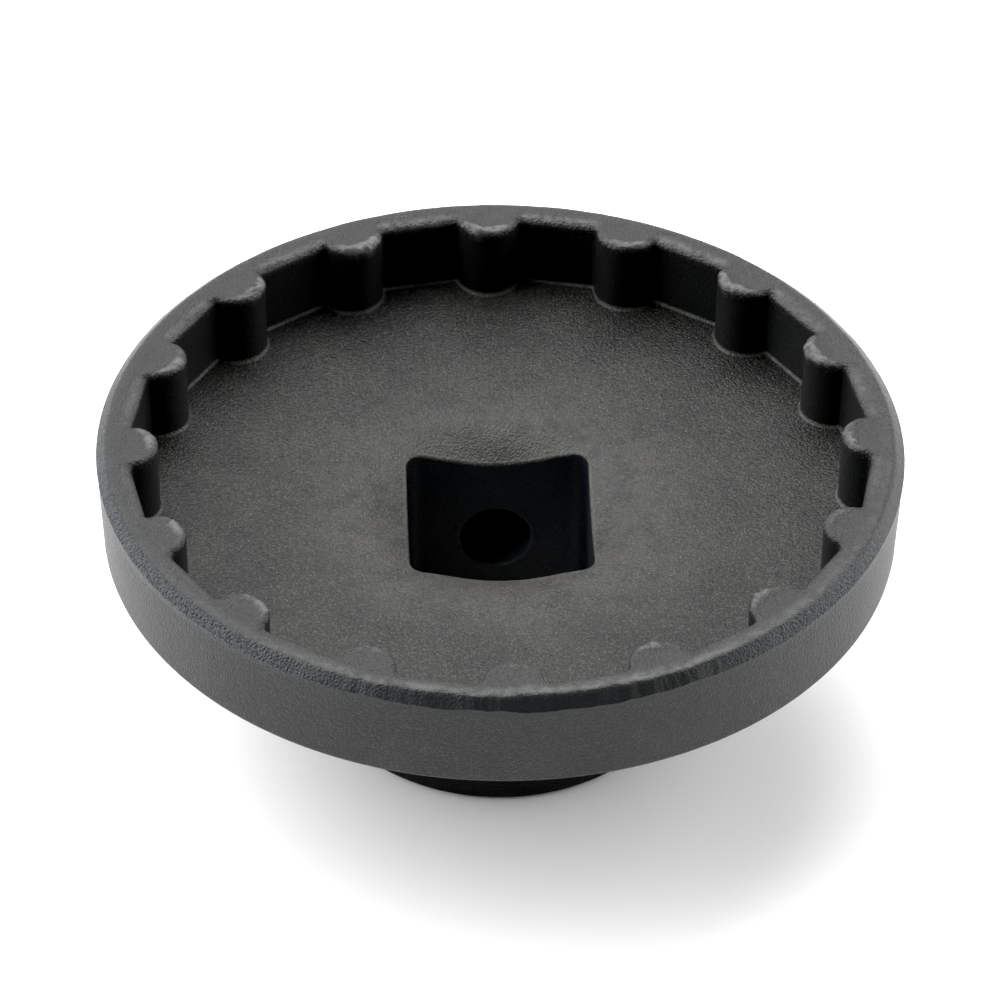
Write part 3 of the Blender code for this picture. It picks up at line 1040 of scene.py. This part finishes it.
def pale_floor():
    """A round white floor, wide enough that its edge stays out of sight."""
    ring = FLOOR_RADIUS * unit(TURN * np.arange(FLOOR_STEPS) / FLOOR_STEPS)
    mesh = bpy.data.meshes.new("studio_floor")
    mesh.from_pydata([(x, y, 0.0) for x, y in ring], [], [tuple(range(FLOOR_STEPS))])
    material = bpy.data.materials.new("pale_floor")
    material.use_nodes = True
    shader = material.node_tree.nodes["Principled BSDF"]
    shader.inputs["Base Color"].default_value = (0.97, 0.97, 0.97, 1)
    shader.inputs["Roughness"].default_value = 0.9
    shader.inputs["Specular IOR Level"].default_value = 0.0
    mesh.materials.append(material)
    floor = bpy.data.objects.new("studio_floor", mesh)
    bpy.context.scene.collection.objects.link(floor)


def soft_light():
    """A white tent, brightest overhead, and open and dark on the side where the camera stands."""
    world = bpy.data.worlds.new("tent")
    bpy.context.scene.world = world
    world.use_nodes = True
    nodes = Nodes(world.node_tree)
    way = nodes.add("ShaderNodeTexCoord").outputs["Generated"]

    def nearness(azimuth, elevation):
        flat = math.cos(elevation)
        aim = (math.sin(azimuth) * flat, -math.cos(azimuth) * flat, math.sin(elevation))
        product = nodes.add("ShaderNodeVectorMath", {0: way, 1: aim}, operation="DOT_PRODUCT")
        return product.outputs["Value"]

    closed = nodes.spread(nearness(*OPENING_AT), *OPENING_SPREAD, 1.0, 0.0)
    across = nodes.add("ShaderNodeSeparateXYZ", {0: way}).outputs["Y"]
    walls = nodes.spread(across, -0.6, 0.8, FRONT_LIGHT, BACK_LIGHT)
    tent = nodes.math("ADD", nodes.math("MULTIPLY", closed, walls), OPENING_LIGHT)
    for azimuth, elevation, edge, whole, brightness in LAMPS.values():
        lamp = nodes.spread(nearness(azimuth, elevation), edge, whole, 0.0, brightness)
        tent = nodes.math("ADD", tent, lamp)
    seen = nodes.add("ShaderNodeLightPath").outputs["Is Camera Ray"]
    strength = nodes.add("ShaderNodeMix", {"Factor": seen, 2: tent, 3: 1.0}, data_type="FLOAT").outputs[0]
    background = nodes.add("ShaderNodeBackground", {"Color": (1, 1, 1, 1), "Strength": strength})
    nodes.add("ShaderNodeOutputWorld", {"Surface": background.outputs[0]})


def camera():
    """A long lens, 38 degrees up in front of the cup, turned a little about its own line of sight."""
    data = bpy.data.cameras.new("camera")
    data.sensor_width = SENSOR
    data.lens = FOCAL_LENGTH
    data.clip_start, data.clip_end = CLIP
    cam = bpy.data.objects.new("camera", data)
    place = Vector(CAMERA_AT)
    turn = (Vector(AIMED_AT) - place).to_track_quat("-Z", "Y").to_matrix().to_4x4()
    roll = Matrix.Rotation(CAMERA_ROLL, 4, "Z")
    cam.matrix_world = Matrix.Translation(place) @ turn @ roll
    bpy.context.scene.collection.objects.link(cam)
    bpy.context.scene.camera = cam


def finish_picture():
    """Plain colours, with the darkest tones taken down to black."""
    view = bpy.context.scene.view_settings
    view.view_transform = "Standard"
    view.look = "None"
    view.use_curve_mapping = True
    view.curve_mapping.black_level = (BLACK_LEVEL, BLACK_LEVEL, BLACK_LEVEL)
    view.curve_mapping.update()


dress(build_skin() + [build_hub()])
pale_floor()
soft_light()
camera()
finish_picture()
